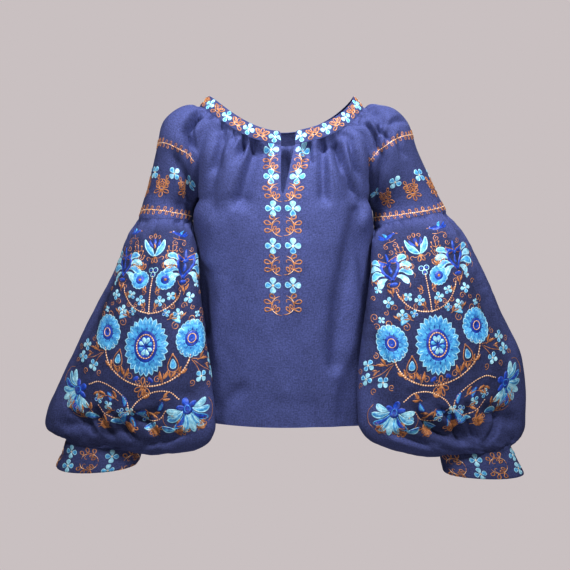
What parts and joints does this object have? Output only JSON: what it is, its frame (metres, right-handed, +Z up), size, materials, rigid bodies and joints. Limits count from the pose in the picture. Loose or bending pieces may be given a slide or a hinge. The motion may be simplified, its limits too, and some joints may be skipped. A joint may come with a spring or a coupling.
{
  "type": "gathered embroidered folk blouse",
  "caption": "Gathered pullover folk blouse, worn form: round neckband with a front slit, raglan upper sleeves, full balloon lower sleeves gathered into cuffs, open hem.",
  "frame": {"origin": "middle of the shoulder line, between the two sides of the neckband, where the wearer's shoulders carry the blouse", "axes": "+Z up the wearer's body, -Y out of the front, +X towards the viewer's right when the front is seen"},
  "size_m": [0.8855, 0.2876, 0.7008],
  "materials": {
    "linen": "soft plain-weave linen, indigo",
    "thread_copper": "satin-stitched thread, copper",
    "thread_cream": "beaded stitches, cream",
    "thread_sky": "satin-stitched thread, sky blue",
    "thread_blue": "satin-stitched thread, royal blue",
    "thread_pale": "satin-stitched thread, pale cyan"
  },
  "bodies": {
    "root": {"front": "linen", "back": "linen", "neckband": "linen", "sleeve_top_left": "linen", "sleeve_top_right": "linen", "sleeve_low_left": "linen", "sleeve_low_right": "linen", "cuff_left": "linen", "cuff_right": "linen"}
  },
  "joints": []
}
